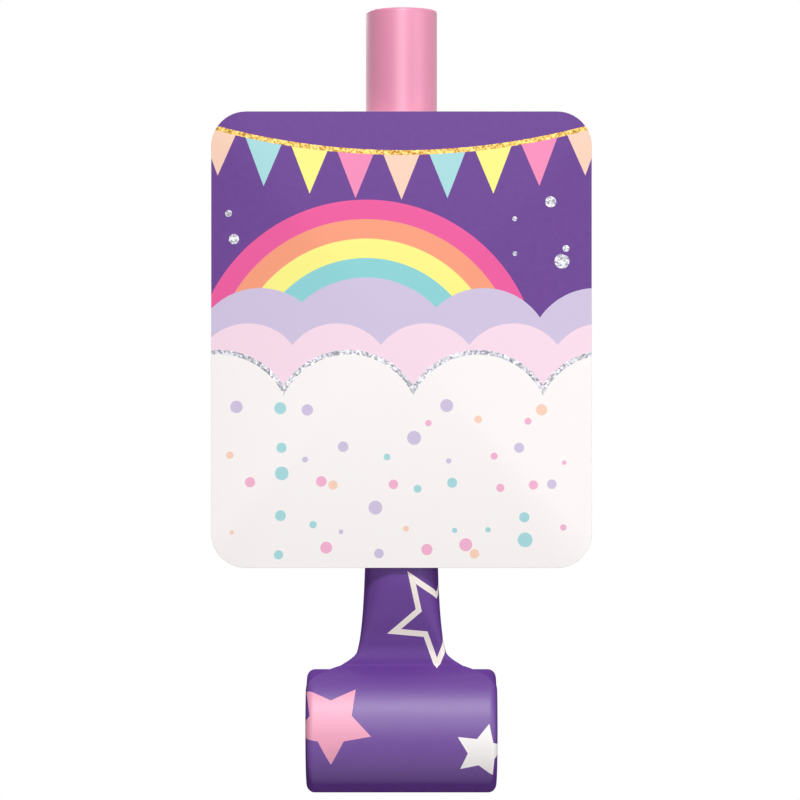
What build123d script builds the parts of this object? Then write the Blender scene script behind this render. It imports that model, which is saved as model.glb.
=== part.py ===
"""Party horn blower: mouthpiece with reed, picture card, and a coiled paper tube with its spring.

Millimetres. The origin is on the mouthpiece axis at the blowing rim. +Z points out of the mouth end,
+X to the right of the card's front, and +Y away from the viewer of the card.
"""
import math
import os
from build123d import *

os.makedirs("parts", exist_ok=True)

# Mouthpiece
tube_r = 6.1
tube_length = 93.0
mouth_bore_r = 4.8
mouth_bore_length = 56.0
reed_bore_r = 5.2
rim_round = 0.5
seat_depth = 0.15
seat_length = 14.0

# Reed unit, pressed into the lower bore
press_clearance = 0.02
plug_length = 8.0
plug_hole_r = 2.1
trough_r = 3.6
trough_wall = 1.1
trough_length = 23.0
ring_r = 4.9
ring_length = 3.4
ring_clearance = 0.05
tongue_thickness = 0.15
tongue_width = 5.6
tongue_length = 21.0
tongue_gap = 0.25
tongue_open_angle = 2.5
tongue_root = 1.6
ring_slot = 0.55

# Card and its glue
card_width = 64.6
card_height = 77.5
card_thickness = 0.6
card_corner_r = 5.9
card_top_z = -17.8
card_gap = 0.3
glue_width = 6.0
glue_length = 50.0
glue_drop = 7.0

# Paper tube: neck, lead-in bend and coil
paper_wall = 0.15
sleeve_clearance = 0.02
neck_gather = 0.1
neck_pleats = 24
neck_end_z = -110.3
neck_end_width = 15.2
neck_end_depth = 1.3
strip_width = 32.7
strip_depth = 0.9
edge_run = 1.4
edge_drop = 1.0
inner_narrowing = 0.18
bend_r = 4.0
bend_angle = 60.0
coil_start_r = 11.0
coil_pitch = 1.5
segment_angle = 60.0
segment_count = 24
crease_gap = 0.1
end_fold = 2.5

# Steel spring band inside the tube
band_width = 3.0
band_depth = 0.1

# Mouthpiece
with BuildPart() as mouthpiece:
    Cylinder(tube_r, tube_length, align=(Align.CENTER, Align.CENTER, Align.MAX))
    fillet(mouthpiece.edges().filter_by(GeomType.CIRCLE).sort_by(Axis.Z)[-1], rim_round)
    with BuildSketch(Plane.XY):
        Circle(mouth_bore_r)
    extrude(amount=-tube_length, mode=Mode.SUBTRACT)
    with BuildSketch(Plane.XY.offset(-mouth_bore_length)):
        Circle(reed_bore_r)
    extrude(amount=-tube_length, mode=Mode.SUBTRACT)
    with BuildSketch(Plane.XY.offset(-tube_length)):
        Circle(tube_r + 1)
        Circle(tube_r - seat_depth, mode=Mode.SUBTRACT)
    extrude(amount=seat_length, mode=Mode.SUBTRACT)
mouthpiece.part.label = "mouthpiece"
export_step(mouthpiece.part, "parts/mouthpiece.step")

# Reed unit. The plug's hole opens into the trough only: its front half is closed under the tongue's root,
# so that the air goes past the tongue.
plug_top_z = -tube_length + plug_length
trough_top_z = plug_top_z + trough_length
with BuildPart() as reed_shallot:
    with BuildSketch(Plane.XY.offset(-tube_length)):
        Circle(reed_bore_r - press_clearance)
        Circle(plug_hole_r, mode=Mode.SUBTRACT)
    extrude(amount=plug_length)
    with BuildSketch(Plane.XY.offset(plug_top_z)):
        Circle(trough_r)
        with Locations((0, -trough_r)):
            Rectangle(4 * trough_r, 2 * trough_r, mode=Mode.SUBTRACT)
        Circle(trough_r - trough_wall, mode=Mode.SUBTRACT)
    extrude(amount=trough_length)
    with BuildSketch(Plane.XY.offset(trough_top_z - trough_wall)):
        Circle(trough_r)
        with Locations((0, -trough_r)):
            Rectangle(4 * trough_r, 2 * trough_r, mode=Mode.SUBTRACT)
    extrude(amount=trough_wall)
    with BuildSketch(Plane.XY.offset(plug_top_z - trough_wall)):
        Circle(trough_r - trough_wall)
        with Locations((0, -trough_r)):
            Rectangle(4 * trough_r, 2 * trough_r, mode=Mode.SUBTRACT)
    extrude(amount=trough_wall, mode=Mode.SUBTRACT)
    with BuildSketch(Plane.XY.offset(plug_top_z)):
        with Locations((0, -trough_r)):
            Rectangle(4 * trough_r, 2 * trough_r)
    extrude(amount=-trough_wall / 2, mode=Mode.SUBTRACT)
    with BuildSketch(Plane.XY.offset(plug_top_z - trough_wall / 2)):
        Circle(reed_bore_r - press_clearance)
        with Locations((0, trough_r)):
            Rectangle(4 * trough_r, 2 * trough_r, mode=Mode.SUBTRACT)
    extrude(amount=trough_wall / 2)
reed_shallot.part.label = "reed_shallot"
export_step(reed_shallot.part, "parts/reed_shallot.step")

with BuildPart() as reed_ring:
    with BuildSketch(Plane.XY.offset(plug_top_z)):
        Circle(ring_r)
        Circle(trough_r + ring_clearance, mode=Mode.SUBTRACT)
    extrude(amount=ring_length)
    with BuildSketch(Plane.XY.offset(plug_top_z)):
        Circle(trough_r + 2 * ring_clearance)
        with Locations((0, 2 * trough_r - ring_slot)):
            Rectangle(4 * trough_r, 4 * trough_r, mode=Mode.SUBTRACT)
    extrude(amount=ring_length)
reed_ring.part.label = "reed_ring"
export_step(reed_ring.part, "parts/reed_ring.step")

# The tongue stands open by its rest angle, and turns about the line where the ring holds it
tongue_pivot_z = plug_top_z + ring_length / 2
tongue_plane = Plane(
    origin=(0, -tongue_gap, tongue_pivot_z),
    x_dir=(1, 0, 0),
    z_dir=(0, -math.cos(math.radians(tongue_open_angle)), -math.sin(math.radians(tongue_open_angle))),
)
with BuildPart() as reed_tongue:
    with BuildSketch(tongue_plane):
        with Locations((0, tongue_length / 2 - tongue_root)):
            Rectangle(tongue_width, tongue_length)
    extrude(amount=tongue_thickness / 2, both=True)
reed_tongue.part.label = "reed_tongue"
export_step(reed_tongue.part, "parts/reed_tongue.step")

# Card, and the glue that fills the space between its back and the tube
card_back_y = -tube_r - card_gap
with BuildPart() as card:
    card_centre = (0, card_back_y, card_top_z - card_height / 2)
    with BuildSketch(Plane(origin=card_centre, x_dir=(1, 0, 0), z_dir=(0, -1, 0))):
        RectangleRounded(card_width, card_height, card_corner_r)
    extrude(amount=card_thickness)
card.part.label = "card"
export_step(card.part, "parts/card.step")

with BuildPart() as card_glue:
    with BuildSketch(Plane.XY.offset(card_top_z - glue_drop)):
        with Locations((0, card_back_y)):
            Rectangle(glue_width, tube_r, align=(Align.CENTER, Align.MIN))
        Circle(tube_r, mode=Mode.SUBTRACT)
        with Locations((0, 0)):
            Rectangle(4 * tube_r, tube_r, align=(Align.CENTER, Align.MIN), mode=Mode.SUBTRACT)
    extrude(amount=-glue_length)
card_glue.part.label = "card_glue"
export_step(card_glue.part, "parts/card_glue.step")

# Paper neck: a sleeve on the tube's seat, then a tube that flattens and widens. The paper is gathered in flat
# pleats, so each section is a many-sided slot, whose inner flats clear the seat.
pleat_turn = 2 * math.pi / neck_pleats
pleat_reach = 1 / math.cos(pleat_turn / 2)
sleeve_r = tube_r - seat_depth + sleeve_clearance
neck_half = (sleeve_r + paper_wall) * pleat_reach
neck_drop = tube_length + neck_end_z
neck_stations = [
    (-tube_length + seat_length, neck_gather, neck_half),
    (-tube_length, neck_gather, neck_half),
    (-tube_length + 0.30 * neck_drop, neck_gather + 0.9, neck_half * 0.88),
    (-tube_length + 0.62 * neck_drop, neck_gather + 3.1, neck_half * 0.55),
    (-tube_length + 0.86 * neck_drop, neck_gather + 5.5, neck_half * 0.23),
    (neck_end_z + crease_gap, neck_end_width / 2 - neck_end_depth / 2, neck_end_depth / 2 * pleat_reach),
]
with BuildPart() as paper_neck:
    for inset, mode in ((0.0, Mode.ADD), (paper_wall * pleat_reach, Mode.SUBTRACT)):
        rings = []
        for z, half, depth in neck_stations:
            r = depth - inset
            ring = []
            for k in range(neck_pleats):
                a = (k + 0.5) * pleat_turn
                ring.append((math.copysign(half, math.cos(a)) + r * math.cos(a), r * math.sin(a), z))
            rings.append(ring)
        outlines = [rings[0], rings[-1]]
        for above, below in zip(rings, rings[1:]):
            for k in range(neck_pleats):
                after = (k + 1) % neck_pleats
                outlines.append([above[k], above[after], below[after], below[k]])
        add(Solid(Shell([Face(Wire.make_polygon(o)) for o in outlines])), mode=mode)
paper_neck.part.label = "paper_neck"
export_step(paper_neck.part, "parts/paper_neck.step")

# The paper tube from the neck on: a forward bend, then a coil of arcs with ever smaller radius.
# A heading is the angle by which the tube points forward of straight down.
bend = math.radians(bend_angle)
step = math.radians(segment_angle)
coil_start_y = -bend_r * (1 - math.cos(bend))
coil_start_z = neck_end_z - bend_r * math.sin(bend)
coil = []
start_y = coil_start_y
start_z = coil_start_z
for i in range(segment_count):
    heading = bend - i * step
    r = coil_start_r - coil_pitch * i * step / (2 * math.pi)
    centre_y = start_y + r * math.cos(heading)
    centre_z = start_z - r * math.sin(heading)
    coil.append((heading, r, centre_y, centre_z))
    start_y = centre_y - r * math.cos(heading - step)
    start_z = centre_z + r * math.sin(heading - step)

# Widths along the lead-in piece: share of the way to full width, at shares of the bend and of the first arc
bend_spread = [(0.0, 0.0), (0.25, 0.13), (0.5, 0.30), (0.75, 0.50), (1.0, 0.70)]
arc_spread = [(0.09, 0.86), (0.20, 0.97), (0.35, 1.0), (0.55, 1.0), (0.78, 1.0), (1.0, 1.0)]
lead_stations = []
for share, spread in bend_spread:
    heading = bend * share
    y = -bend_r * (1 - math.cos(heading))
    z = neck_end_z - bend_r * math.sin(heading)
    lead_stations.append((y, z, heading, spread))
heading_0, r_0, centre_y, centre_z = coil[0]
lead_turn = step - crease_gap / r_0
for share, spread in arc_spread:
    heading = heading_0 - lead_turn * share
    y = centre_y - r_0 * math.cos(heading)
    z = centre_z + r_0 * math.sin(heading)
    lead_stations.append((y, z, heading, spread))

with BuildPart() as lead_paper:
    for y, z, heading, spread in lead_stations:
        half = (neck_end_width + (strip_width - neck_end_width) * spread) / 2
        flat = half - edge_run
        top = (neck_end_depth + (strip_depth - neck_end_depth) * spread) / 2
        drop = edge_drop * spread
        with BuildSketch(
            Plane(origin=(0, y, z), x_dir=(1, 0, 0), z_dir=(0, -math.sin(heading), -math.cos(heading)))
        ):
            with BuildLine():
                Polyline(
                    (-flat, -top), (flat, -top), (half, -drop),
                    (flat, top), (-flat, top), (-half, -drop), close=True,
                )
            make_face()
    loft(ruled=True)
    for y, z, heading, spread in lead_stations:
        flat = (neck_end_width + (strip_width - neck_end_width) * spread) / 2 - edge_run
        top = (neck_end_depth + (strip_depth - neck_end_depth) * spread) / 2 - paper_wall
        with BuildSketch(
            Plane(origin=(0, y, z), x_dir=(1, 0, 0), z_dir=(0, -math.sin(heading), -math.cos(heading)))
        ):
            Rectangle(2 * flat, 2 * top)
    loft(ruled=True, mode=Mode.SUBTRACT)
lead_paper.part.label = "roll_paper_01"
export_step(lead_paper.part, "parts/roll_paper_01.step")

with BuildPart() as lead_spring:
    with BuildSketch(Plane(origin=(0, 0, neck_end_z), x_dir=(1, 0, 0), z_dir=(0, 0, -1))):
        Rectangle(band_width, band_depth)
    revolve(axis=Axis((0, -bend_r, neck_end_z), (-1, 0, 0)), revolution_arc=bend_angle)
    coil_start = (0, coil_start_y, coil_start_z)
    with BuildSketch(Plane(origin=coil_start, x_dir=(1, 0, 0), z_dir=(0, -math.sin(bend), -math.cos(bend)))):
        Rectangle(band_width, band_depth)
    revolve(axis=Axis((0, centre_y, centre_z), (1, 0, 0)), revolution_arc=math.degrees(lead_turn))
lead_spring.part.label = "roll_spring_01"
export_step(lead_spring.part, "parts/roll_spring_01.step")

# The rest of the coil, one arc of paper tube and one of spring band in each piece
for i in range(1, segment_count):
    heading, r, centre_y, centre_z = coil[i]
    number = f"{i + 1:02d}"
    last = i == segment_count - 1
    half = strip_width / 2 - inner_narrowing * min(max(i - 2, 0), 4)
    flat = half - edge_run
    top = strip_depth / 2
    turn = segment_angle - math.degrees(crease_gap / r)
    open_turn = turn - (math.degrees(end_fold / r) if last else 0)
    section = Plane(
        origin=(0, centre_y, centre_z), x_dir=(1, 0, 0), z_dir=(0, -math.sin(heading), -math.cos(heading))
    )
    axis = Axis((0, centre_y, centre_z), (1, 0, 0))
    with BuildPart() as paper:
        with BuildSketch(section):
            with BuildLine():
                Polyline(
                    (-flat, r - top), (flat, r - top), (half, r - edge_drop),
                    (flat, r + top), (-flat, r + top), (-half, r - edge_drop), close=True,
                )
            make_face()
        revolve(axis=axis, revolution_arc=turn)
        with BuildSketch(section):
            with Locations((0, r)):
                Rectangle(2 * flat, strip_depth - 2 * paper_wall)
        revolve(axis=axis, revolution_arc=open_turn, mode=Mode.SUBTRACT)
    paper.part.label = "roll_paper_" + number
    export_step(paper.part, "parts/roll_paper_" + number + ".step")
    with BuildPart() as spring:
        with BuildSketch(section):
            with Locations((0, r)):
                Rectangle(band_width, band_depth)
        revolve(axis=axis, revolution_arc=open_turn - (math.degrees(crease_gap / r) if last else 0))
    spring.part.label = "roll_spring_" + number
    export_step(spring.part, "parts/roll_spring_" + number + ".step")

# Least gap between the coil's turns, measured on points of the paper's middle line
line = []
for heading, r, centre_y, centre_z in coil:
    for k in range(40):
        a = heading - step * k / 40
        line.append((centre_y - r * math.cos(a), centre_z + r * math.sin(a)))
least = min(
    math.dist(line[a], line[b]) for a in range(len(line)) for b in range(a + 120, len(line))
)
print(f"least gap between turns {least - strip_depth:.3f} mm")
print("hinges, in mm, as y and z: first on the back of the bend, the others on the outside of the coil")
print(f"01 {neck_end_depth / 2:.6f} {neck_end_z:.6f}")
for i in range(1, segment_count):
    heading, r, centre_y, centre_z = coil[i]
    reach = r + strip_depth / 2
    hinge_y = centre_y - reach * math.cos(heading)
    hinge_z = centre_z + reach * math.sin(heading)
    print(f"{i + 1:02d} {hinge_y:.6f} {hinge_z:.6f}")
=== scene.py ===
"""Looks of the party horn blower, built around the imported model. Sizes are in millimetres unless said."""
import math

import bpy
import numpy as np
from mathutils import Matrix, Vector


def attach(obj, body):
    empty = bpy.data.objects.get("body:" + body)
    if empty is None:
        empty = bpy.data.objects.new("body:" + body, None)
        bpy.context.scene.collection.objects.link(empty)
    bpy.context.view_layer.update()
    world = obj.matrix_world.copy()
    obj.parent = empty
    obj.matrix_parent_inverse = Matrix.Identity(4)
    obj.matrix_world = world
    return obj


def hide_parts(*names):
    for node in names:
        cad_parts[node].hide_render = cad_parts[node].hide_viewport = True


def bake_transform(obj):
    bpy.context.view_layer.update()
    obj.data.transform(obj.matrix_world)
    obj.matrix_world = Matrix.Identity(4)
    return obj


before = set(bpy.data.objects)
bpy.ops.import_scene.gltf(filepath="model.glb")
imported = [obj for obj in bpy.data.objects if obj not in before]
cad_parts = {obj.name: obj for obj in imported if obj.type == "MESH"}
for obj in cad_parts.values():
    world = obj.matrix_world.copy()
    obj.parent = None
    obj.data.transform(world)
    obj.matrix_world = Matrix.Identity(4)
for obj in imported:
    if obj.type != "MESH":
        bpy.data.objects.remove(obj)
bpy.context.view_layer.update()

MM = 0.001

# Sizes that the solids have too
TUBE_R = 6.1
TUBE_LENGTH = 93.0
MOUTH_BORE_R = 4.8
MOUTH_BORE_LENGTH = 56.0
REED_BORE_R = 5.2
RIM_ROUND = 0.5
SEAT_DEPTH = 0.15
SEAT_LENGTH = 14.0
CARD_WIDTH = 64.6
CARD_HEIGHT = 77.5
CARD_TOP_Z = -17.8
CARD_FRONT_Y = -7.0
CARD_BACK_Y = -6.4
CARD_CORNER_R = 5.9
NECK_END_Z = -110.3
PAPER_WALL = 0.15
BEND_R = 4.0
BEND = math.radians(60)
STEP = math.radians(60)
COIL_R = 11.0
COIL_PITCH = 1.5
PIECES = 24
SPRING_HALF = 1.5
SPRING_THICKNESS = 0.1
SPRING_END = 2.6

# Print of the paper: half its way round the flat tube, half its repeat along it, and the place of the folds
HALF_ROUND = 34.3
HALF_REPEAT = 45.0
FOLD_AT = 17.1

# Camera and lamps, in metres and watts
scene = bpy.context.scene
scene.view_settings.view_transform = "Standard"
eye = bpy.data.cameras.new("camera")
eye.lens = 159.1
eye.sensor_width = 36.0
eye.clip_start = 0.01
camera = bpy.data.objects.new("camera", eye)
camera.location = (-0.00025, -0.607, -0.0668)
camera.rotation_euler = (math.pi / 2, 0, 0)
scene.collection.objects.link(camera)
scene.camera = camera


def lamp(name, place, aim, size, power):
    """A soft box lamp in metres and watts that looks from its place at the aim."""
    light = bpy.data.lights.new(name, "AREA")
    light.shape = "RECTANGLE"
    light.size, light.size_y = size
    light.energy = power
    holder = bpy.data.objects.new(name, light)
    holder.location = place
    holder.rotation_euler = (Vector(aim) - Vector(place)).to_track_quat("-Z", "Y").to_euler()
    scene.collection.objects.link(holder)


MIDDLE = (0, 0, -0.08)
lamp("key_softbox", (0.08, -1.37, 1.02), MIDDLE, (0.46, 0.30), 19.4)
lamp("side_fill", (1.20, -0.80, 0.05), MIDDLE, (1.0, 1.2), 5.4)
lamp("front_strip", (0.02, -1.44, 0.13), (0, 0, -0.05), (0.90, 0.16), 4.6)
lamp("rear_fill", (-0.6, 1.4, 0.7), MIDDLE, (0.8, 0.8), 23.0)


def linear(code):
    """A six-digit sRGB hex colour as linear red, green, blue and alpha."""
    part = np.array([int(code[i:i + 2], 16) for i in (0, 2, 4)]) / 255
    flat = np.where(part <= 0.04045, part / 12.92, ((part + 0.055) / 1.055) ** 2.4)
    return (*flat.tolist(), 1.0)


def put(tree, kind, *values, out=0, sockets=None, **settings):
    """Adds one shader node, whose kind may end in a dot and its operation. Values fill its sockets in order,
    and the dict of sockets fills them by name or number: a socket is linked, anything else is set. Settings
    are the node's properties. Gives one output, if it has any."""
    kind, _, operation = kind.partition(".")
    made = tree.nodes.new("ShaderNode" + kind)
    if operation:
        made.operation = operation
    for key, value in settings.items():
        setattr(made, key, value)
    for key, value in [*enumerate(values), *(sockets or {}).items()]:
        if isinstance(value, bpy.types.NodeSocket):
            tree.links.new(value, made.inputs[key])
        else:
            made.inputs[key].default_value = value
    return made.outputs[out] if made.outputs else None


# A Mix node of two colours has its share in socket 0, its colours in 6 and 7, and its result in output 2
TINT = {"out": 2, "data_type": "RGBA"}


def material(name, paint):
    """A node material. Its paint function takes the tree, and gives the sockets of the Principled shader."""
    made = bpy.data.materials.new(name)
    made.use_nodes = True
    tree = made.node_tree
    tree.nodes.clear()
    put(tree, "OutputMaterial", put(tree, "BsdfPrincipled", sockets=paint(tree)))
    return made


# World: white to the camera and in reflections, a dim sky that is lighter above for everything else
world = bpy.data.worlds.new("studio")
scene.world = world
world.use_nodes = True
tree = world.node_tree
tree.nodes.clear()
rays = put(tree, "LightPath").node.outputs
seen = put(tree, "Math.MAXIMUM", rays["Is Camera Ray"], rays["Is Glossy Ray"])
seen = put(tree, "Math.MAXIMUM", seen, rays["Is Transmission Ray"])
height = put(tree, "SeparateXYZ", put(tree, "TexCoord", out=0), out=2)
OVERHEAD = 0.28
sky = put(tree, "MapRange", height, -1.0, 1.0, 0.0, OVERHEAD)
level = put(tree, "Mix", seen, sockets={2: sky, 3: 1.0})
put(tree, "OutputWorld", put(tree, "Background", linear("FFFFFF"), level))


# Materials. Object places are output 3 of a TexCoord node, in metres
def pink_plastic(tree):
    """Glossy moulded polystyrene, rose pink all through. The eye gets a long clean highlight, a slightly
    uneven pink where the wall is thicker, and faint scuffs from handling."""
    at = put(tree, "TexCoord", out=3)
    cloud = put(tree, "TexNoise", sockets={"Vector": at, "Scale": 1 / (11 * MM), "Detail": 3.0})
    colour = put(tree, "Mix", sockets={0: cloud, 6: linear("DF85A8"), 7: linear("E78FB1")}, **TINT)
    # Scuffs are 0.33 wide and 6 long, where real ones are finer than would show
    wide, long = 1 / (0.33 * MM), 1 / (6 * MM)
    drawn = put(tree, "VectorMath.MULTIPLY", at, (wide, wide, long))
    scuff = put(tree, "TexNoise", sockets={"Vector": drawn, "Scale": 1.0, "Detail": 2.0})
    rough = put(tree, "MapRange", scuff, 0.3, 0.8, 0.35, 0.41)
    bump = put(tree, "Bump", sockets={"Strength": 0.04, "Distance": 0.2 * MM, "Height": cloud})
    return {"Base Color": colour, "Roughness": rough, "Normal": bump, "Specular IOR Level": 0.96,
            "Subsurface Weight": 0.12, "Subsurface Radius": (0.004, 0.002, 0.002), "Subsurface Scale": 0.5}


def printed_card(tree):
    """Coated paperboard with a print on its front: a purple sky with a pastel rainbow over scalloped clouds,
    a pennant garland, pastel confetti, and dots and a string of glitter. The back and edges are bare white
    board with fibres. The eye gets flat satin inks, and glitter whose sparkle is painted cell by cell: each
    fleck is coloured between a dark and a light tone at random, a painted glint standing in for flecks
    tilted to and from the light."""
    at = put(tree, "VectorMath.DIVIDE", put(tree, "TexCoord", out=3), (MM, MM, MM))
    x, y, z = put(tree, "SeparateXYZ", at).node.outputs
    up = put(tree, "Math.ADD", z, CARD_HEIGHT - CARD_TOP_Z)
    flat = put(tree, "CombineXYZ", x, up)
    # Sky, and a rainbow of discs, the outer one first
    paper = put(tree, "TexNoise", sockets={"Vector": flat, "Scale": 1 / 1.1, "Detail": 4.0})
    ink = put(tree, "Mix", sockets={0: paper, 6: linear("6A4390"), 7: linear("734C99")}, **TINT)
    rainbow_middle = (-6.0, 33.0, 0.0)
    reach = put(tree, "VectorMath.DISTANCE", flat, rainbow_middle, out=1)
    arcs = [(29.5, "EE5FA0"), (26.2, "F9A07F"), (22.9, "FDF58A"), (19.6, "8FD3D6"), (16.3, "D2C5E2")]
    for radius, code in arcs:
        inside = put(tree, "Math.LESS_THAN", reach, radius)
        ink = put(tree, "Mix", sockets={0: inside, 6: ink, 7: linear(code)}, **TINT)
    # Clouds in three rows of scallops, the rear one first: period, shift, base, radius, colour
    rows = [
        (19.0, 5.0, 36.0, 11.5, "D2C5E2"),
        (15.0, -4.0, 32.0, 9.5, "F9DCEB"),
        (22.0, 9.0, 24.0, 13.0, "FCF7F6"),
    ]
    for period, shift, base, radius, code in rows:
        across = put(tree, "Math.WRAP", put(tree, "Math.ADD", x, shift), period / 2, -period / 2)
        lift = put(tree, "Math.MAXIMUM", put(tree, "Math.SUBTRACT", up, base), 0.0)
        puff = put(tree, "VectorMath.LENGTH", put(tree, "CombineXYZ", across, lift), out=1)
        cloud = put(tree, "Math.LESS_THAN", puff, radius)
        ink = put(tree, "Mix", sockets={0: cloud, 6: ink, 7: linear(code)}, **TINT)
    line_half = 0.4
    rim = put(tree, "Math.COMPARE", puff, radius - line_half, line_half)
    # One dot for each cell of a jittered grid: confetti on the front clouds, silver in the open sky
    cell = put(tree, "TexVoronoi", sockets={"Vector": flat, "Scale": 1 / 5.9, "Randomness": 0.85},
               voronoi_dimensions="2D").node.outputs
    pick, size, _ = put(tree, "SeparateXYZ", cell["Color"]).node.outputs
    middle_x, middle_up, _ = put(tree, "SeparateXYZ", cell["Position"]).node.outputs
    dots_half, confetti_middle, confetti_half = 30.5, 15.2, 13.2
    silver_middle, silver_half, rainbow_clear = 56.0, 7.0, 31.0
    dot_r = put(tree, "MapRange", size, 0.0, 1.0, 0.06, 0.22)
    dot = put(tree, "Math.LESS_THAN", cell["Distance"], dot_r)
    dot = put(tree, "Math.MULTIPLY", dot, put(tree, "Math.COMPARE", middle_x, 0.0, dots_half))
    low_down = put(tree, "Math.COMPARE", middle_up, confetti_middle, confetti_half)
    confetti = put(tree, "Math.MULTIPLY", dot, low_down)
    tones = [(1.1, "F5B5D3"), (0.75, "A9DBDF"), (0.5, "D2C5E2"), (0.25, "FBD3BD")]
    for share, code in tones:
        chosen = put(tree, "Math.MULTIPLY", confetti, put(tree, "Math.LESS_THAN", pick, share))
        ink = put(tree, "Mix", sockets={0: chosen, 6: ink, 7: linear(code)}, **TINT)
    high_up = put(tree, "Math.COMPARE", middle_up, silver_middle, silver_half)
    silver = put(tree, "Math.MULTIPLY", dot, high_up)
    away = put(tree, "VectorMath.DISTANCE", cell["Position"], rainbow_middle, out=1)
    silver = put(tree, "Math.MULTIPLY", silver, put(tree, "Math.GREATER_THAN", away, rainbow_clear))
    silver = put(tree, "Math.MAXIMUM", silver, rim)
    # Garland: a sagging string with pennants in four colours by turns
    string_low, string_curve = 70.5, 0.0042
    pennant_gap, pennant_length, pennant_taper = 7.8, 8.0, 2.5
    sag = put(tree, "Math.MULTIPLY_ADD", put(tree, "Math.MULTIPLY", x, x), string_curve, string_low)
    below = put(tree, "Math.SUBTRACT", sag, up)
    aside = put(tree, "Math.ABSOLUTE", put(tree, "Math.WRAP", x, pennant_gap / 2, -pennant_gap / 2))
    depth = put(tree, "Math.MULTIPLY_ADD", aside, pennant_taper, below)
    narrow = put(tree, "Math.LESS_THAN", depth, pennant_length)
    flag = put(tree, "Math.MULTIPLY", narrow, put(tree, "Math.GREATER_THAN", below, 0.0))
    order = put(tree, "Math.FLOOR", put(tree, "Math.MULTIPLY_ADD", x, 1 / pennant_gap, 0.5))
    order = put(tree, "Math.WRAP", order, 4.0, 0.0)
    flags = [(4.0, "F48FBB"), (2.5, "FDF58A"), (1.5, "A9DBDF"), (0.5, "FBD3BD")]
    for share, code in flags:
        chosen = put(tree, "Math.MULTIPLY", flag, put(tree, "Math.LESS_THAN", order, share))
        ink = put(tree, "Mix", sockets={0: chosen, 6: ink, 7: linear(code)}, **TINT)
    gold = put(tree, "Math.LESS_THAN", put(tree, "Math.ABSOLUTE", below), line_half)
    # Glitter in flecks of 0.31, where real ones of 0.2 would be too fine to show. Each fleck gets a random
    #     # share between a dark and a light tone, a painted glint for flecks tilted to and from the light,
    #     and the
    #     # same share is its bump height
    grain = put(tree, "TexVoronoi", sockets={"Vector": flat, "Scale": 1 / 0.31},
                voronoi_dimensions="2D").node.outputs
    fleck_glint_and_height = put(tree, "SeparateXYZ", grain["Color"], out=0)
    # Silver and gold flecks, each painted between its dark and its light tone as a painted glint
    for mask, dark, light in ((silver, "74747E", "DADAE0"), (gold, "8A5E1E", "E2C070")):
        painted_glint_fleck = put(tree, "Mix", sockets={0: fleck_glint_and_height, 6: linear(dark), 7: linear(light)}, **TINT)
        ink = put(tree, "Mix", sockets={0: mask, 6: ink, 7: painted_glint_fleck}, **TINT)
    glitter = put(tree, "Math.MAXIMUM", silver, gold)
    # Bare board behind and round the edges. Its fibres are flecks of 0.6, as real ones are too fine to show
    front = put(tree, "Math.LESS_THAN", y, CARD_FRONT_Y + 0.04)
    fibre = put(tree, "TexNoise", sockets={"Vector": at, "Scale": 1 / 0.6, "Detail": 5.0})
    board = put(tree, "Mix", sockets={0: fibre, 6: linear("E6E2DA"), 7: linear("F7F5F0")}, **TINT)
    ink = put(tree, "Mix", sockets={0: front, 6: board, 7: ink}, **TINT)
    glitter = put(tree, "Math.MULTIPLY", glitter, front)
    rough = put(tree, "MapRange", front, 0.0, 1.0, 0.85, 0.50)
    relief = put(tree, "Math.MULTIPLY_ADD", glitter, fleck_glint_and_height, put(tree, "Math.MULTIPLY", fibre, 0.12))
    bump = put(tree, "Bump", sockets={"Strength": 0.25, "Distance": 0.1 * MM, "Height": relief})
    return {"Base Color": ink, "Roughness": rough, "Metallic": put(tree, "Math.MULTIPLY", glitter, 0.6),
            "Normal": bump, "Specular IOR Level": 0.12}


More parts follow.
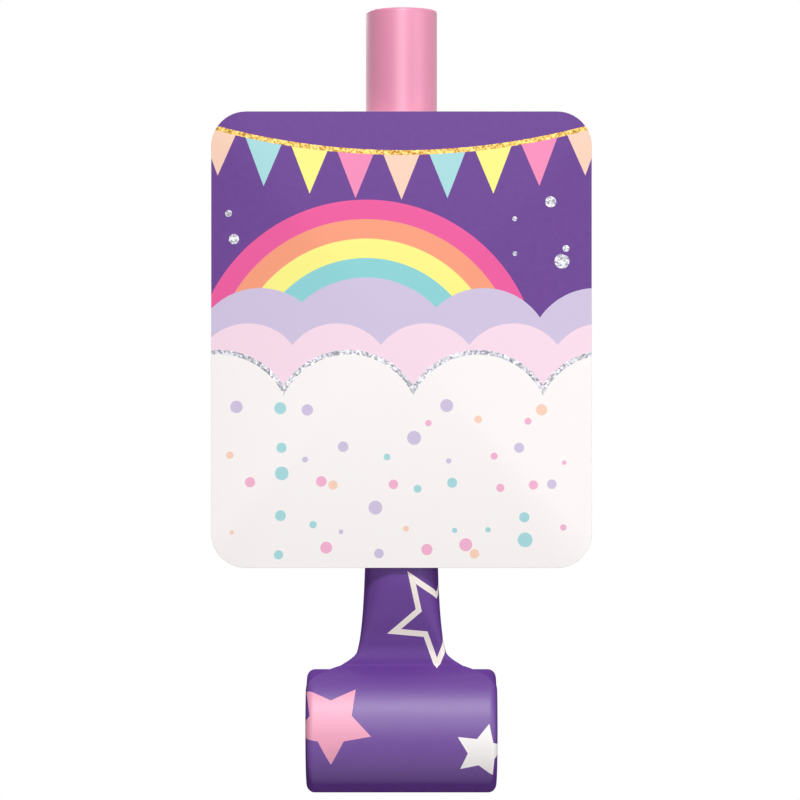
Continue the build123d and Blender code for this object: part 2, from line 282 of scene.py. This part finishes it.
def purple_paper(tree):
    """Satin gift-wrap paper, purple with a scattered print of plain stars, some solid and some in outline.
    The print runs round the flat tube and along it by the piece's own map. The eye gets a soft sheen across
    the roll that dies away at a glancing angle, fine fibres, a faint waviness where the paper has been
    creased, and folds that are rubbed pale in places."""
    mapped = put(tree, "VectorMath.DIVIDE", put(tree, "UVMap", uv_map="print"), (MM, MM, 1.0))
    u, s, _ = put(tree, "SeparateXYZ", mapped).node.outputs
    # Fibres are flecks of 0.45, because real ones are too fine to show, and the waves are 6 long
    fibre = put(tree, "TexNoise", sockets={"Vector": mapped, "Scale": 1 / 0.45, "Detail": 5.0})
    wave = put(tree, "TexNoise", sockets={"Vector": mapped, "Scale": 1 / 6, "Detail": 1.0})
    ink = put(tree, "Mix", sockets={0: fibre, 6: linear("623B8C"), 7: linear("6E4599")}, **TINT)
    # Stars: across, along, tip radius, inner share, turn in degrees, stroke or 0 for solid, colour
    cream, pink, white = "FDF3EA", "EEA2BC", "FDF8F7"
    stars = [
        (6.2, -5.9, 9.05, 0.44, 35.0, 0.93, cream),
        (-12.0, 14.0, 7.2, 0.52, 36.0, 0.0, pink),
        (13.7, 18.9, 4.9, 0.50, -14.0, 0.0, white),
        (-3.0, 36.0, 4.6, 0.50, 8.0, 0.0, white),
        (9.0, 48.0, 6.6, 0.52, 20.0, 0.0, pink),
        (-8.5, 52.0, 8.4, 0.44, 12.0, 0.93, cream),
        (33.0, -2.0, 7.0, 0.52, 20.0, 0.0, pink),
        (27.0, 18.0, 8.6, 0.44, 30.0, 0.93, cream),
        (42.0, 14.0, 4.8, 0.50, 5.0, 0.0, white),
        (38.0, 34.0, 7.2, 0.52, -10.0, 0.0, pink),
        (25.0, 44.0, 4.8, 0.50, 25.0, 0.0, white),
        (39.0, 60.0, 8.6, 0.44, 0.0, 0.93, cream),
    ]
    half_point = math.pi / 5
    for across, along, radius, share, turn, stroke, code in stars:
        du = put(tree, "Math.WRAP", put(tree, "Math.SUBTRACT", u, across), HALF_ROUND, -HALF_ROUND)
        ds = put(tree, "Math.WRAP", put(tree, "Math.SUBTRACT", along, s), HALF_REPEAT, -HALF_REPEAT)
        away = put(tree, "VectorMath.LENGTH", put(tree, "CombineXYZ", du, ds), out=1)
        angle = put(tree, "Math.ADD", put(tree, "Math.ARCTAN2", du, ds), math.radians(turn))
        sector = put(tree, "Math.PINGPONG", angle, half_point)
        lean = math.atan2(1 - share * math.cos(half_point), share * math.sin(half_point))
        towards = put(tree, "Math.COSINE", put(tree, "Math.SUBTRACT", sector, lean))
        beyond = put(tree, "Math.MULTIPLY_ADD", away, towards, -radius * math.cos(lean))
        if stroke:
            beyond = put(tree, "Math.ABSOLUTE", put(tree, "Math.ADD", beyond, stroke / 2))
        star = put(tree, "Math.LESS_THAN", beyond, stroke / 2)
        ink = put(tree, "Mix", sockets={0: star, 6: ink, 7: linear(code)}, **TINT)
    # Folds along both sides of the flat tube, where the print is rubbed to a paler line here and there
    side = put(tree, "Math.ABSOLUTE", put(tree, "Math.WRAP", u, HALF_ROUND, -HALF_ROUND))
    fold = put(tree, "Math.COMPARE", side, FOLD_AT, 0.25)
    fold = put(tree, "Math.MULTIPLY", fold, put(tree, "Math.GREATER_THAN", s, 3.0))
    worn = put(tree, "Math.MULTIPLY", fold, put(tree, "MapRange", wave, 0.35, 0.65, 0.1, 0.6))
    ink = put(tree, "Mix", sockets={0: worn, 6: ink, 7: linear("A892C6")}, **TINT)
    relief = put(tree, "Math.MULTIPLY_ADD", wave, 6.0, fibre)
    bump = put(tree, "Bump", sockets={"Strength": 0.10, "Distance": 0.1 * MM, "Height": relief})
    rough = put(tree, "MapRange", fibre, 0.0, 1.0, 0.43, 0.53)
    gloss, full_to, gone_at = 0.74, 0.10, 0.50
    sheen = put(tree, "MapRange", put(tree, "LayerWeight", 0.5, out=1), full_to, gone_at, gloss, 0.0)
    # The satin coat is dull where the forward crease has broken it, and duller on the neck than on the roll
    from_crease = put(tree, "Math.ABSOLUTE", put(tree, "Math.SUBTRACT", s, BEND_R * BEND / 2))
    calm = put(tree, "MapRange", from_crease, 0.8, 3.0, 0.1, 1.0)
    sheen = put(tree, "Math.MULTIPLY", sheen, calm)
    gathered = put(tree, "MapRange", s, -2.0, 2.0, 0.55, 1.0)
    sheen = put(tree, "Math.MULTIPLY", sheen, gathered)
    return {"Base Color": ink, "Roughness": rough, "Normal": bump, "Specular IOR Level": sheen}


def hot_melt_glue(tree):
    """Set hot-melt glue, milky and a little yellow. The eye gets a soft waxy gloss with small bubbles."""
    at = put(tree, "TexCoord", out=3)
    haze = put(tree, "TexNoise", sockets={"Vector": at, "Scale": 1 / (2 * MM), "Detail": 2.0})
    colour = put(tree, "Mix", sockets={0: haze, 6: linear("DCD5BF"), 7: linear("EFEADB")}, **TINT)
    bump = put(tree, "Bump", sockets={"Strength": 0.2, "Distance": 0.2 * MM, "Height": haze})
    return {"Base Color": colour, "Roughness": 0.32, "Normal": bump, "Subsurface Weight": 0.3,
            "Subsurface Radius": (0.003, 0.0025, 0.002), "Subsurface Scale": 0.6}


def reed_plastic(tree):
    """Plain white moulded plastic of the reed. The eye gets a dull sheen with slight flow marks."""
    at = put(tree, "TexCoord", out=3)
    flow = put(tree, "TexNoise", sockets={"Vector": at, "Scale": 1 / (4 * MM), "Detail": 2.0})
    colour = put(tree, "Mix", sockets={0: flow, 6: linear("DEDDD6"), 7: linear("F1F0EA")}, **TINT)
    return {"Base Color": colour, "Roughness": 0.48}


def reed_film(tree):
    """Thin stiff film of the tongue, clear with a milky cast. The eye gets a glossy pale strip with streaks
    of 0.25 by 5."""
    wide, long = 1 / (0.25 * MM), 1 / (5 * MM)
    at = put(tree, "VectorMath.MULTIPLY", put(tree, "TexCoord", out=3), (wide, wide, long))
    streak = put(tree, "TexNoise", sockets={"Vector": at, "Scale": 1.0, "Detail": 2.0})
    colour = put(tree, "Mix", sockets={0: streak, 6: linear("CBD3DA"), 7: linear("E9EEF1")}, **TINT)
    return {"Base Color": colour, "Roughness": 0.2, "Transmission Weight": 0.35, "IOR": 1.5}


def spring_band(tree):
    """Thin rolled spring steel. The eye gets a grey metal with fine rolling lines along the band."""
    # Lines are 0.11 wide and 7 long, where real ones are finer than would show
    stretch = (1 / (0.11 * MM), 1 / (7 * MM), 0.0)
    lines = put(tree, "VectorMath.MULTIPLY", put(tree, "UVMap", uv_map="print"), stretch)
    grain = put(tree, "TexNoise", sockets={"Vector": lines, "Scale": 1.0, "Detail": 3.0})
    colour = put(tree, "Mix", sockets={0: grain, 6: linear("A9ABAF"), 7: linear("D3D5D8")}, **TINT)
    rough = put(tree, "MapRange", grain, 0.2, 0.8, 0.24, 0.42)
    return {"Base Color": colour, "Metallic": 1.0, "Roughness": rough}


def pale_floor(tree):
    """Matte pale card under the object, which fades out towards its rim. The eye gets only a soft shadow."""
    at = put(tree, "TexCoord", out=3)
    grain = put(tree, "TexNoise", sockets={"Vector": at, "Scale": 1 / (17 * MM), "Detail": 2.0})
    colour = put(tree, "Mix", sockets={0: grain, 6: linear("F0F0EE"), 7: linear("F8F8F6")}, **TINT)
    level_place = put(tree, "VectorMath.MULTIPLY", at, (1.0, 1.0, 0.0))
    fade_from, fade_to = 0.10, 0.22
    away = put(tree, "VectorMath.LENGTH", level_place, out=1)
    fade = put(tree, "MapRange", away, fade_from, fade_to, 1.0, 0.0)
    return {"Base Color": colour, "Roughness": 0.9, "Alpha": fade}


PINK = material("pink_polystyrene", pink_plastic)
CARD = material("printed_paperboard", printed_card)
PAPER = material("purple_star_paper", purple_paper)
GLUE = material("hot_melt_glue", hot_melt_glue)
REED = material("white_reed_plastic", reed_plastic)
FILM = material("reed_film", reed_film)
STEEL = material("spring_steel", spring_band)
FLOOR = material("pale_floor", pale_floor)


# Surfaces. A skin without normals of its own has sharp edges from this angle on
SHARP = math.radians(40)


def shell(name, rings, look, uv=None, joined=False, normals=None):
    """A closed skin over rings[row, column] of x, y, z: quads between neighbouring rings, each a closed
    loop, and a fan over each end ring to its middle. With joined, the last ring meets the first instead.
    The map uv has one column more than the rings, for the seam."""
    rows, cols = rings.shape[:2]
    spots = rings.reshape(-1, 3)
    row = np.arange(rows if joined else rows - 1)[:, None]
    col = np.arange(cols)[None, :]
    after, beside = (row + 1) % rows, (col + 1) % cols
    near, far = row * cols, after * cols
    quads = np.stack([near + col, near + beside, far + beside, far + col], -1).reshape(-1, 4)
    fans = np.zeros((0, 3), int)
    if not joined:
        spots = np.vstack([spots, rings[[0, -1]].mean(axis=1)])
        c, d, last = col[0], beside[0], (rows - 1) * cols
        first_fan = np.stack([d, c, np.full(cols, rows * cols)], -1)
        last_fan = np.stack([last + c, last + d, np.full(cols, rows * cols + 1)], -1)
        fans = np.vstack([first_fan, last_fan])
    tris = np.vstack([quads[:, [0, 1, 2]], quads[:, [0, 2, 3]], fans])
    one, two, three = (spots[tris[:, k]] for k in range(3))
    inward = np.einsum("ij,ij->", one, np.cross(two, three)) < 0
    order = -1 if inward else 1
    mesh = bpy.data.meshes.new(name)
    mesh.from_pydata(spots * MM, [], quads[:, ::order].tolist() + fans[:, ::order].tolist())
    smooth = np.ones(len(mesh.polygons), bool)
    smooth[len(quads):] = False
    mesh.polygons.foreach_set("use_smooth", smooth)
    if uv is not None:
        r, q = np.broadcast_arrays(row, col)
        r2 = (r + 1) % rows
        corners = np.stack([uv[r, q], uv[r, q + 1], uv[r2, q + 1], uv[r2, q]], 2).reshape(-1, 4, 2)
        tips = np.zeros((len(fans), 3, 2))
        if not joined:
            ends = uv[[0, -1]]
            middle = np.repeat(ends.mean(axis=1)[:, None], cols, axis=1)
            tips[:cols] = np.stack([ends[0, 1:], ends[0, :-1], middle[0]], 1)
            tips[cols:] = np.stack([ends[1, :-1], ends[1, 1:], middle[1]], 1)
        layer = mesh.uv_layers.new(name="print")
        flat = np.concatenate([corners[:, ::order].reshape(-1, 2), tips[:, ::order].reshape(-1, 2)]) * MM
        layer.data.foreach_set("uv", flat.ravel())
    if normals is not None:
        ends, middles = rings[[0, -1]], spots[-2:]
        fan_normals = np.cross(ends[:, 1] - middles, ends[:, 0] - middles) * [[1], [-1]]
        every = np.vstack([normals.reshape(-1, 3), fan_normals])
        every = every / np.maximum(np.linalg.norm(every, axis=1, keepdims=True), 1e-9)
        mesh.normals_split_custom_set_from_vertices(every.tolist())
    else:
        mesh.set_sharp_from_angle(angle=SHARP)
    mesh.materials.append(look)
    made = bpy.data.objects.new(name, mesh)
    scene.collection.objects.link(made)
    return made


def spline(at, table):
    """Values of a table of (place, value) pairs at many places: a cubic through the points that never
    overshoots them, with the slope at each point the limited mean of its neighbours' slopes."""
    place, value = np.array(table, float).T
    step = np.diff(place)
    rise = np.diff(value) / step
    left, right = np.concatenate([[0], rise]), np.concatenate([rise, [0]])
    total = np.where(left + right == 0, 1, left + right)
    slope = np.where(left * right > 0, 2 * left * right / total, 0)
    i = np.clip(np.searchsorted(place, at, side="right") - 1, 0, len(step) - 1)
    t = np.clip((at - place[i]) / step[i], 0, 1)
    bend = step[i] * (slope[i] * t * (1 - t) ** 2 - slope[i + 1] * t ** 2 * (1 - t))
    return value[i] + (value[i + 1] - value[i]) * t ** 2 * (3 - 2 * t) + bend


# Middle line of the coil: radius, heading, arc length and place at the start of each sixth of a turn
TURN_PIECES = 6
CREASE_R = 0.8
CREASE_LEG = (BEND_R - CREASE_R) * math.tan(BEND / 2)
RADII = COIL_R - COIL_PITCH * np.arange(PIECES) / TURN_PIECES
HEADS = BEND - STEP * np.arange(PIECES + 1)
MARKS = BEND_R * BEND + np.concatenate([[0], np.cumsum(RADII * STEP)])
COIL_Y = -BEND_R * (1 - math.cos(BEND))
COIL_Z = NECK_END_Z - BEND_R * math.sin(BEND)
STARTS_Y = np.cumsum(np.concatenate([[COIL_Y], -RADII * np.diff(np.cos(HEADS))]))
STARTS_Z = np.cumsum(np.concatenate([[COIL_Z], RADII * np.diff(np.sin(HEADS))]))


def path(s):
    """Middle line of the flat paper tube by arc length s from the neck's end: straight up the neck for s
    below 0, a forward bend that is straight at both ends with a tight arc in its corner, then arcs of a
    sixth of a turn with ever smaller radius. Gives y, z and the heading, which is the angle forward of
    straight down."""
    i = np.clip(np.searchsorted(MARKS, s, side="right") - 1, 0, PIECES - 1)
    a = HEADS[i] - (s - MARKS[i]) / RADII[i]
    q = s * (2 * CREASE_LEG + CREASE_R * BEND) / MARKS[0]
    b = np.clip((q - CREASE_LEG) / CREASE_R, 0, BEND)
    before = np.minimum(q, CREASE_LEG)
    after = np.maximum(q - CREASE_LEG - CREASE_R * BEND, 0)
    bend_y = -CREASE_R * (1 - np.cos(b)) - after * math.sin(BEND)
    bend_z = NECK_END_Z - before - CREASE_R * np.sin(b) - after * math.cos(BEND)
    lead = s < MARKS[0]
    y = np.where(lead, bend_y, STARTS_Y[i] + RADII[i] * (np.cos(HEADS[i]) - np.cos(a)))
    z = np.where(lead, bend_z, STARTS_Z[i] + RADII[i] * (np.sin(a) - np.sin(HEADS[i])))
    return y, z, np.where(lead, b, a)


# Points across each flat wall and round each edge of the paper's outline, and the turn from which the print
# on the front of an edge follows its arc
WALL = 25
EDGE = 14
EASE_FROM = 0.8


def section(half, run, top, drop):
    """Outline of a flat tube for each row, starting at the left fold: a quarter ellipse up to the straight
    front wall at height top, the same down to the right fold, which is half across and drop below the
    middle, and the same behind with the rear wall at minus top. Gives across, height, and the place u on
    the printed sheet."""
    half, run, top, drop = (np.asarray(v, float)[:, None] for v in np.broadcast_arrays(half, run, top, drop))
    flat = half - run
    turn = np.linspace(0, np.pi / 2, EDGE + 1)
    wall = np.linspace(-1, 1, WALL)
    rising, falling = turn[:0:-1], turn[1:-1]
    front_x = np.hstack([-flat - run * np.sin(rising), flat * wall, flat + run * np.sin(falling)])
    rear_x = np.hstack([flat + run * np.cos(turn[:-1]), -flat * wall, -flat - run * np.cos(falling[::-1])])
    tall, deep = top + drop, top - drop
    flat_top = top + 0 * wall
    front_y = np.hstack([top - tall * (1 - np.cos(rising)), flat_top, top - tall * (1 - np.cos(falling))])
    rear_y = np.hstack([-drop - deep * np.sin(turn[:-1]), -flat_top, -drop - deep * np.sin(falling[::-1])])
    ease = np.clip((turn - EASE_FROM) / (np.pi / 2 - EASE_FROM), 0, 1)
    edge = np.sin(turn) + ease ** 2 * (3 - 2 * ease) * (turn - np.sin(turn))
    fold = flat + run * np.pi / 2
    front_u = np.hstack([-flat - run * edge[:0:-1], flat * wall, flat + run * edge[1:-1]])
    far = fold + run * np.pi / 2 + 2 * flat
    rear_u = np.hstack([fold + run * turn[:-1], far - flat + flat * wall, far + run * turn[1:]])
    u = np.hstack([front_u, rear_u])
    return np.hstack([front_x, rear_x]), np.hstack([front_y, rear_y]), u


# Outline of the paper by arc length: half width, height of the walls, width of the edges, drop of the folds
NECK_TOP = -31.3
HALF_TABLE = [
    (NECK_TOP, 6.18), (-17.3, 6.18), (-12.0, 6.34), (-8.0, 6.55), (-5.0, 6.80), (-2.5, 7.12), (-0.9, 7.45),
    (0.0, 7.75), (1.2, 9.2), (2.45, 11.6), (3.4, 13.3), (4.3, 14.8), (5.2, 15.8), (6.2, 16.25), (7.4, 16.35),
]
TOP_TABLE = [
    (NECK_TOP, 6.12), (-16.6, 6.12), (-12.1, 5.39), (-6.6, 3.37), (-2.4, 1.41), (0.0, 0.65), (6.0, 0.45),
]
RUN_TABLE = [
    (NECK_TOP, 6.12), (-16.6, 6.12), (-12.1, 5.39), (-6.6, 3.37), (-2.4, 1.45), (0.0, 1.2), (6.0, 1.4),
]
DROP_TABLE = [(NECK_TOP, 0.0), (0.0, 0.0), (6.0, 1.0)]
NARROWING = 0.18
LEAST_FLAT = 0.05


def paper_rings(s, inset=0.0):
    """Rings of the paper tube at arc lengths s, with the walls moved inwards by inset, and their print map.
    The outline of each ring stands square to the middle line and narrows a little to the inner turns."""
    half = spline(s, HALF_TABLE) - NARROWING * np.clip(s / MARKS[-1], 0, 1) - inset
    run = np.minimum(spline(s, RUN_TABLE) - inset, half - LEAST_FLAT)
    x, h, u = section(half, run, spline(s, TOP_TABLE) - inset, spline(s, DROP_TABLE))
    return bent(x, h, s), np.stack([u, s[:, None] + 0 * u], -1)


def bent(x, h, s):
    """Outlines of across and height, set up square to the middle line at arc lengths s."""
    y, z, a = (v[:, None] for v in path(s))
    return np.stack([x, y - h * np.cos(a), z + h * np.sin(a)], -1)


def facing(rings):
    """Outward directions at the inner rows of a grid of rings, from the differences along and round it."""
    along = rings[2:] - rings[:-2]
    around = (np.roll(rings, -1, axis=1) - np.roll(rings, 1, axis=1))[1:-1]
    out = np.cross(around, along)
    middle = rings[1:-1].mean(axis=1, keepdims=True)
    return out * np.sign(np.einsum("ijk,ijk->", out, rings[1:-1] - middle))


def place(s):
    """The point of the middle line at one arc length, in metres."""
    y, z, _ = path(np.array([s]))
    return (0.0, float(y[0]) * MM, float(z[0]) * MM)


# Mouthpiece: a tube turned about the axis, with a round rim, a stepped bore and a slim seat for the paper
RIM_POINTS, TUBE_POINTS = 7, 96
rise = np.sin(np.linspace(0, np.pi / 2, RIM_POINTS))
fall = np.cos(np.linspace(0, np.pi / 2, RIM_POINTS))
outer_rim = np.stack([TUBE_R - RIM_ROUND * (1 - fall), -RIM_ROUND * (1 - rise)], 1)
inner_rim = np.stack([MOUTH_BORE_R + RIM_ROUND * (1 - rise), -RIM_ROUND * (1 - fall)], 1)
seat_r, seat_z = TUBE_R - SEAT_DEPTH, -TUBE_LENGTH + SEAT_LENGTH
low = np.array([
    (MOUTH_BORE_R, -MOUTH_BORE_LENGTH), (REED_BORE_R, -MOUTH_BORE_LENGTH), (REED_BORE_R, -TUBE_LENGTH),
    (seat_r, -TUBE_LENGTH), (seat_r, seat_z), (TUBE_R, seat_z),
])
profile = np.vstack([outer_rim, inner_rim, low])
spin = np.linspace(0, 2 * np.pi, TUBE_POINTS, endpoint=False)
radius, level = profile[:, :1], profile[:, 1:]
rings = np.stack([radius * np.cos(spin), radius * np.sin(spin), level + 0 * spin], -1)
mouthpiece = shell("mouthpiece_tube", rings, PINK, joined=True)
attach(mouthpiece, "holder")
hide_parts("mouthpiece")

# Card: a flat board with rounded corners, and edges that are cut back a little towards both faces
CORNER_POINTS = 13
corner = np.linspace(0, np.pi / 2, CORNER_POINTS)
angles = (np.arange(4)[:, None] * np.pi / 2 + corner).ravel()
side_x = np.repeat([1, -1, -1, 1], CORNER_POINTS) * (CARD_WIDTH / 2 - CARD_CORNER_R)
side_z = np.repeat([1, 1, -1, -1], CORNER_POINTS) * (CARD_HEIGHT / 2 - CARD_CORNER_R)
insets = np.array([0.10, 0.03, 0.0, 0.0, 0.03, 0.10])[:, None]
depths = np.array([0.0, 0.02, 0.08, 0.52, 0.58, 0.60])[:, None]
reach = CARD_CORNER_R - insets
rings = np.stack([
    side_x + reach * np.cos(angles), CARD_FRONT_Y + depths + 0 * angles,
    CARD_TOP_Z - CARD_HEIGHT / 2 + side_z + reach * np.sin(angles),
], -1)
card = shell("card_board", rings, CARD)
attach(card, "holder")
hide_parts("card")

# Glue: a bead between the card's back and the tube, pressed flat on both, with uneven sides and round ends
BEAD_TOP, BEAD_END, BEAD_ROWS = -25.0, -74.6, 60
BEAD_HALF = 2.85
TUBE_SHARE = 0.86
HOLLOW = 0.12
HAIR = 0.01
END_POWER, END_LEAST = 12, 0.02
LONG_WAVE, LONG_RATE = 0.05, 0.9
SHORT_WAVE, SHORT_RATE = 0.03, 2.3
SPAN_POINTS, BOW_POINTS = 13, 6
bead_z = np.linspace(BEAD_TOP, BEAD_END, BEAD_ROWS)[:, None]
along = np.linspace(-1, 1, BEAD_ROWS)[:, None]
bulge = np.sqrt(np.clip(1 - np.abs(along) ** END_POWER, END_LEAST, 1))
uneven = 1 + LONG_WAVE * np.sin(bead_z * LONG_RATE) + SHORT_WAVE * np.sin(bead_z * SHORT_RATE)
wide = BEAD_HALF * bulge * uneven
span = np.linspace(-1, 1, SPAN_POINTS)
bow = np.linspace(0, 1, BOW_POINTS)[1:-1]
dent = HOLLOW * np.sin(np.pi * bow)
tube_x = wide * TUBE_SHARE
tube_y = -np.sqrt((TUBE_R + HAIR) ** 2 - (tube_x * span[::-1]) ** 2)
edge_y = -np.sqrt((TUBE_R + HAIR) ** 2 - tube_x ** 2)
card_y = CARD_BACK_Y + HAIR
bead_x = np.hstack([
    wide * span, wide + (tube_x - wide) * bow - dent, tube_x * span[::-1],
    -tube_x - (wide - tube_x) * bow + dent,
])
bead_y = np.hstack([
    card_y + 0 * wide * span, card_y + (edge_y - card_y) * bow, tube_y, edge_y + (card_y - edge_y) * bow,
])
glue = shell("glue_bead", np.stack([bead_x, bead_y, bead_z + 0 * bead_x], -1), GLUE)
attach(glue, "holder")
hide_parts("card_glue")

# Paper neck: outer wall down, inner wall up, with the gathered fullness lapped and rippled behind. Places
# round it are shares of the way round from the left fold
SEAM, NECK_ROWS = -2.8, 72
BACK_MIDDLE, BACK_HALF, BACK_FADE = 0.75, 0.25, 0.12
RIPPLE, RIPPLES, RIPPLE_SWAY, RIPPLE_SHIFT = 0.10, 16, 0.25, 1.2
LAP, LAP_AT, LAP_WIDTH, LAP_HELD = 0.32, 0.74, 0.004, 0.25
FADE = 6.0
s = np.linspace(NECK_TOP, SEAM, NECK_ROWS)
outer, outer_uv = paper_rings(s)
inner, inner_uv = paper_rings(s, PAPER_WALL)
free = (np.clip((s - NECK_TOP) / FADE, 0, 1) * np.clip((SEAM - s) / FADE, 0, 1))[:, None]
round_share = np.linspace(0, 1, outer.shape[1], endpoint=False)
behind = np.clip((np.abs(round_share - BACK_MIDDLE) - BACK_HALF) / -BACK_FADE, 0, 1)
sway = RIPPLE_SWAY * np.sin(s)[:, None]
ripple = RIPPLE * np.sin(2 * np.pi * round_share * RIPPLES + sway + RIPPLE_SHIFT)
lap = LAP / (1 + np.exp((round_share - LAP_AT) / LAP_WIDTH)) * behind
lift = (ripple * free + lap * (LAP_HELD + (1 - LAP_HELD) * free)) * behind
push = facing(np.concatenate([outer[:1], outer, outer[-1:]]))
push[0], push[-1] = push[1], push[-2]
outer = outer + lift[..., None] * push / np.linalg.norm(push, axis=-1, keepdims=True)
rings = np.concatenate([outer, inner[::-1]])
uv = np.concatenate([outer_uv, inner_uv[::-1]])
neck = shell("paper_neck_skin", rings, PAPER, uv=uv, joined=True)
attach(neck, "holder")
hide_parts("paper_neck")

# Rolled paper tube and its spring band, in pieces from mid arc to mid arc that each span one crease
ROWS = 30
FIRST_CUT, END_GAP, BLEND_MARGIN, SPRING_START = 0.4, 0.1, 0.1, 0.05
halfway = (MARKS[:-1] + MARKS[1:]) / 2
first_cut = MARKS[0] + FIRST_CUT * RADII[0] * STEP
cuts = np.concatenate([[SEAM, first_cut], halfway[1:-1], [MARKS[-1] - END_GAP]])
for k in range(1, PIECES + 1):
    first, last = cuts[k - 1], cuts[k]
    pad = (last - first) / (ROWS - 1)
    s = np.linspace(first - pad, last + pad, ROWS + 2)
    rings, uv = paper_rings(s)
    paper = shell(f"roll_paper_skin_{k:02d}", rings[1:-1], PAPER, uv=uv[1:-1], normals=facing(rings))
    s = np.clip(s, SPRING_START, MARKS[-1] - SPRING_END)
    s = np.linspace(s[1], s[-2], ROWS)
    x, h, u = section(SPRING_HALF + 0 * s, SPRING_THICKNESS / 2, SPRING_THICKNESS / 2, 0.0)
    uv = np.stack([u, s[:, None] + 0 * u], -1)
    spring = shell(f"roll_spring_skin_{k:02d}", bent(x, h, s), STEEL, uv=uv)
    for piece, node, finish in ((paper, "paper", "purple_paper"), (spring, "spring", "spring_band")):
        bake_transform(piece)
        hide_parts(f"roll_{node}_{k:02d}")

# Reed: the solids themselves, with their own finish
for node, look in (("reed_shallot", REED), ("reed_ring", REED), ("reed_tongue", FILM)):
    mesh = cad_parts[node].data
    mesh.materials.clear()
    mesh.materials.append(look)

# Floor well below the unrolled tube, in metres
FLOOR_R, FLOOR_Z, FLOOR_POINTS = 0.23, -0.345, 64
turn = np.linspace(0, 2 * np.pi, FLOOR_POINTS, endpoint=False)
spots = np.stack([FLOOR_R * np.cos(turn), FLOOR_R * np.sin(turn), 0 * turn + FLOOR_Z], -1)
mesh = bpy.data.meshes.new("floor")
mesh.from_pydata(spots, [], [list(range(FLOOR_POINTS))])
mesh.materials.append(FLOOR)
floor = bpy.data.objects.new("floor", mesh)
scene.collection.objects.link(floor)
